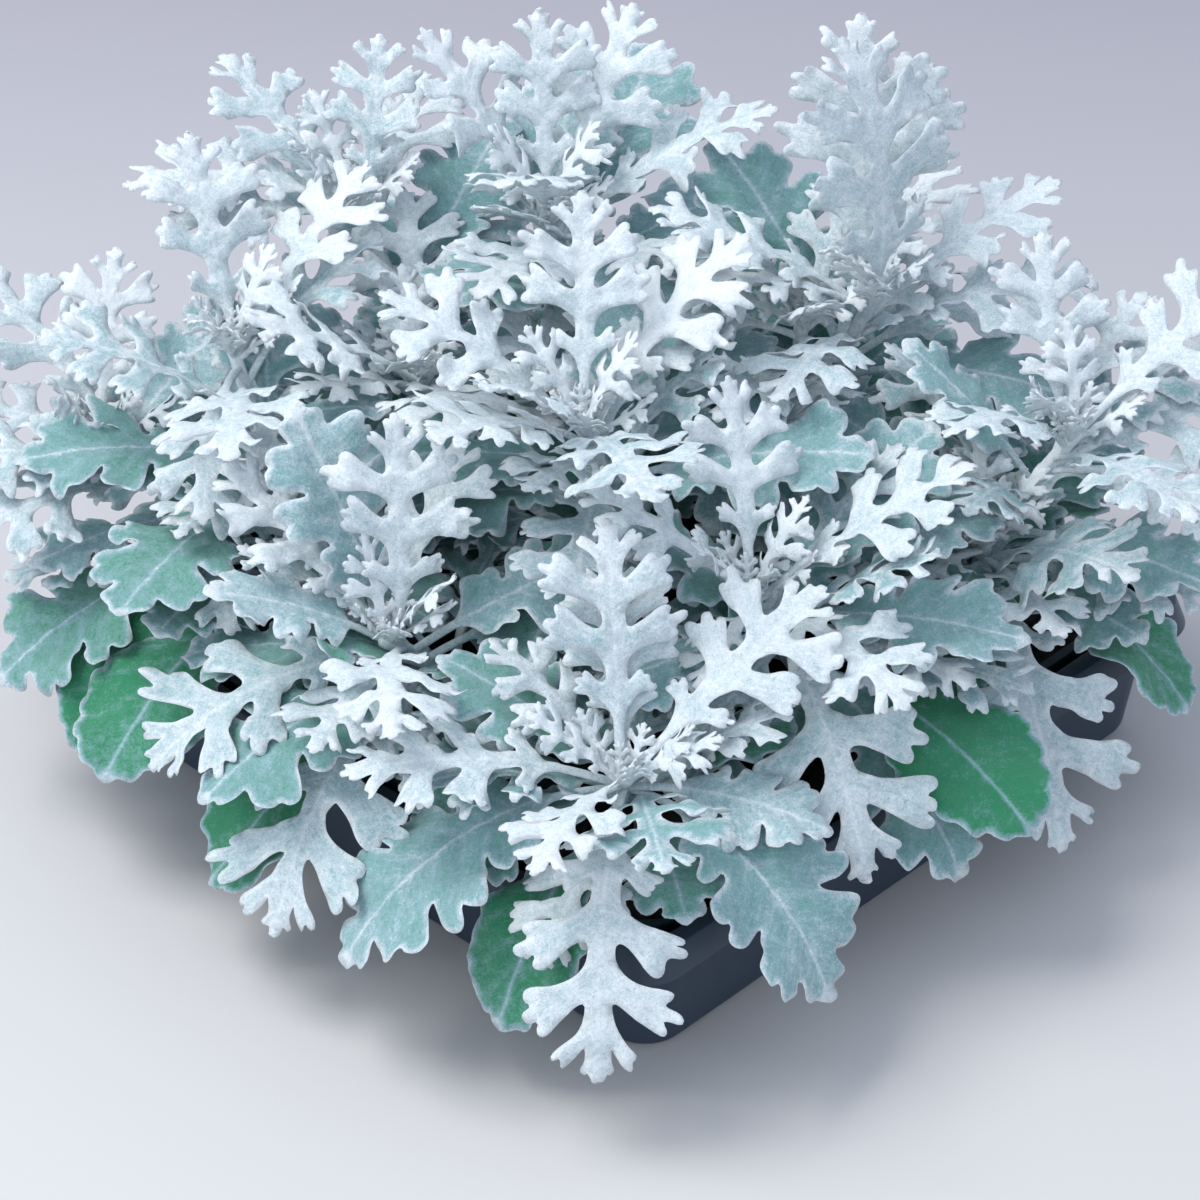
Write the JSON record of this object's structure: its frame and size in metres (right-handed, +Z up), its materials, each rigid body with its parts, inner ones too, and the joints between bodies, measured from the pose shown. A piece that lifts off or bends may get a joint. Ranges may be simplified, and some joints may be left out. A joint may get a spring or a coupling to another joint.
{
  "type": "potted dusty miller tray",
  "caption": "Nine dusty miller bedding plants with white felted, deeply cut leaves, grown together in a square dark plastic nursery tray.",
  "frame": {"origin": "centre of the tray's underside, on the surface that it stands on", "axes": "+Z up; X and Y run along the sides of the square tray; the corner seen in front in the picture points to -X -Y"},
  "size_m": [0.3741, 0.4052, 0.2419],
  "materials": {
    "tray_plastic": "satin moulded plastic",
    "liner_plastic": "thin vacuum formed plastic",
    "soil": "moist peat potting mix with fine perlite",
    "leaf": "white felt over blue green leaf"
  },
  "bodies": {
    "root": {"tray": "tray_plastic", "cell_liner": "liner_plastic", "soil_a1": "soil", "soil_a2": "soil", "soil_a3": "soil", "soil_b1": "soil", "soil_b2": "soil", "soil_b3": "soil", "soil_c1": "soil", "soil_c2": "soil", "soil_c3": "soil", "plant_a1": "leaf", "plant_a2": "leaf", "plant_a3": "leaf", "plant_b1": "leaf", "plant_b2": "leaf", "plant_b3": "leaf", "plant_c1": "leaf", "plant_c2": "leaf", "plant_c3": "leaf"}
  },
  "joints": []
}
